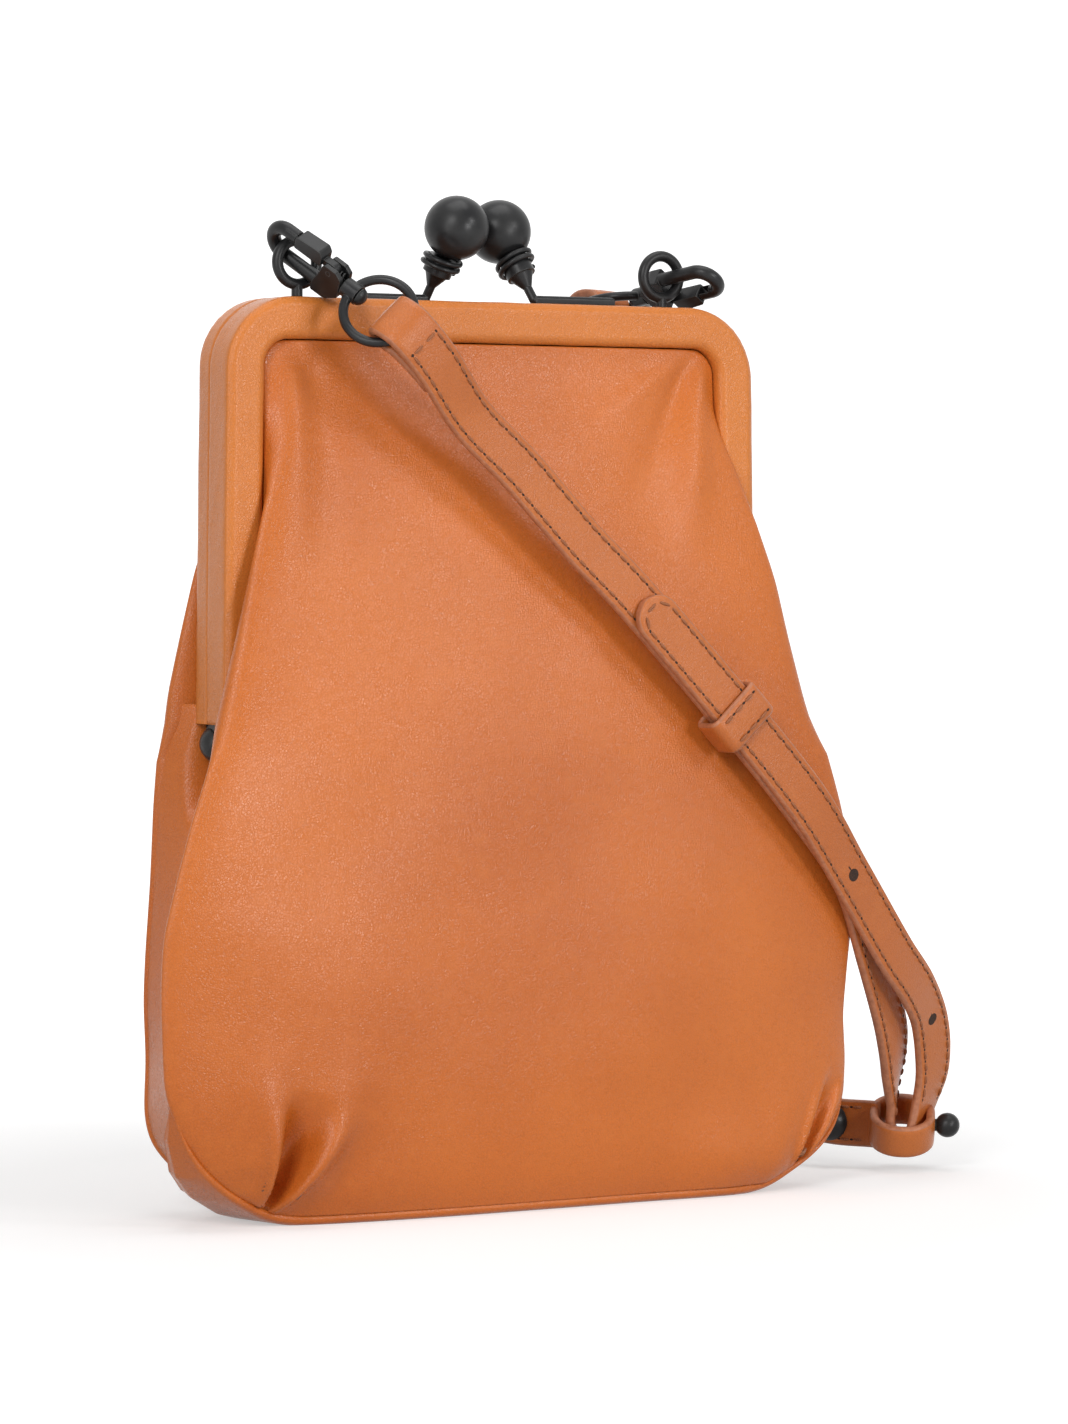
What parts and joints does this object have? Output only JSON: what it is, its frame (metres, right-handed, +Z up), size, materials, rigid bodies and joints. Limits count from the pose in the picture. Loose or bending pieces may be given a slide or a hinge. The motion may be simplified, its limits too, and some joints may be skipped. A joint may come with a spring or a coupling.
{
  "type": "kiss lock frame purse",
  "caption": "Small leather frame purse with a kiss lock, a soft gathered pouch and a strap on swivel snap hooks.",
  "frame": {"origin": "middle of the base, on the surface the purse stands on", "axes": "+Z up, +X to the right of the front face, +Y to the back; the frame halves meet on Y = 0"},
  "size_m": [0.25, 0.0877, 0.2627],
  "materials": {
    "pouch_leather": "smooth tan nappa leather, soft sheen",
    "frame_leather": "lighter tan leather wrap, soft sheen",
    "strap_leather": "tan strap leather with burnished edges",
    "lining": "thin brown cloth, matte",
    "board": "stiff dark base board",
    "black_metal": "satin black"
  },
  "bodies": {
    "pouch": {"base_panel": "pouch_leather", "base_board": "board", "front_panel_lower": "pouch_leather", "back_panel_lower": "pouch_leather", "front_lining_lower": "lining", "back_lining_lower": "lining", "left_gusset": "pouch_leather", "right_gusset": "pouch_leather", "hinge_rivets": "black_metal", "long_strap": "strap_leather", "short_strap": "strap_leather", "strap_loop": "strap_leather", "strap_stud": "black_metal", "short_strap_rivet": "black_metal"},
    "front_frame": {"front_frame_bar": "black_metal", "front_frame_leather": "frame_leather", "front_lock_stem": "black_metal", "front_lock_collar": "black_metal", "front_lock_ball": "black_metal", "front_panel_upper": "pouch_leather", "front_lining_upper": "lining", "left_frame_ring": "black_metal", "left_hook_strap_ring": "black_metal"},
    "back_frame": {"back_frame_bar": "black_metal", "back_frame_leather": "frame_leather", "back_lock_stem": "black_metal", "back_lock_collar": "black_metal", "back_lock_ball": "black_metal", "back_panel_upper": "pouch_leather", "back_lining_upper": "lining", "right_frame_ring": "black_metal", "right_hook_strap_ring": "black_metal"},
    "left_hook": {"left_hook_body": "black_metal", "left_hook_gate_pin": "black_metal", "left_hook_gate_spring": "black_metal", "left_hook_swivel_post": "black_metal"},
    "left_gate": {"left_hook_gate": "black_metal"},
    "right_hook": {"right_hook_body": "black_metal", "right_hook_gate_pin": "black_metal", "right_hook_gate_spring": "black_metal", "right_hook_swivel_post": "black_metal"},
    "right_gate": {"right_hook_gate": "black_metal"},
    "keeper": {"strap_keeper": "strap_leather"}
  },
  "joints": [
    {"name": "front_hinge", "type": "hinge", "parent": "pouch", "child": "front_frame", "pos_m": [0, 0, 0.1215], "axis": [1, 0, 0], "range_deg": [0, 40], "deforming": ["front_panel_lower", "front_lining_lower", "left_gusset", "right_gusset", "long_strap"]},
    {"name": "back_hinge", "type": "hinge", "parent": "pouch", "child": "back_frame", "pos_m": [0, 0, 0.1215], "axis": [-1, 0, 0], "range_deg": [0, 40], "deforming": ["back_panel_lower", "back_lining_lower", "left_gusset", "right_gusset", "short_strap"]},
    {"name": "left_hook_swivel", "type": "hinge", "parent": "front_frame", "child": "left_hook", "pos_m": [-0.05926, -0.00618, 0.24885], "axis": [0.5005, -0.6502, -0.5715], "range_deg": [-8, 8]},
    {"name": "right_hook_swivel", "type": "hinge", "parent": "back_frame", "child": "right_hook", "pos_m": [0.0661, -0.00489, 0.24244], "axis": [-0.262, 0.9551, -0.1381], "range_deg": [-8, 8]},
    {"name": "left_gate_pivot", "type": "hinge", "parent": "left_hook", "child": "left_gate", "pos_m": [-0.05198, -0.01822, 0.24163], "axis": [-0.8416, -0.2108, -0.4973], "range_deg": [0, 16], "stiffness_Nm_per_rad": 0.02, "deforming": ["left_hook_gate_spring"]},
    {"name": "right_gate_pivot", "type": "hinge", "parent": "right_hook", "child": "right_gate", "pos_m": [0.06413, 0.01038, 0.23882], "axis": [-0.5181, -0.2599, -0.8149], "range_deg": [0, 10], "stiffness_Nm_per_rad": 0.02, "deforming": ["right_hook_gate_spring"]},
    {"name": "keeper_slide", "type": "slide", "parent": "front_frame", "child": "keeper", "axis": [0.6888, -0.0035, -0.725], "range_m": [-0.008, 0.008]}
  ],
  "couplings": [
    {"joint": "back_hinge", "follows": "front_hinge", "ratio": 1}
  ]
}
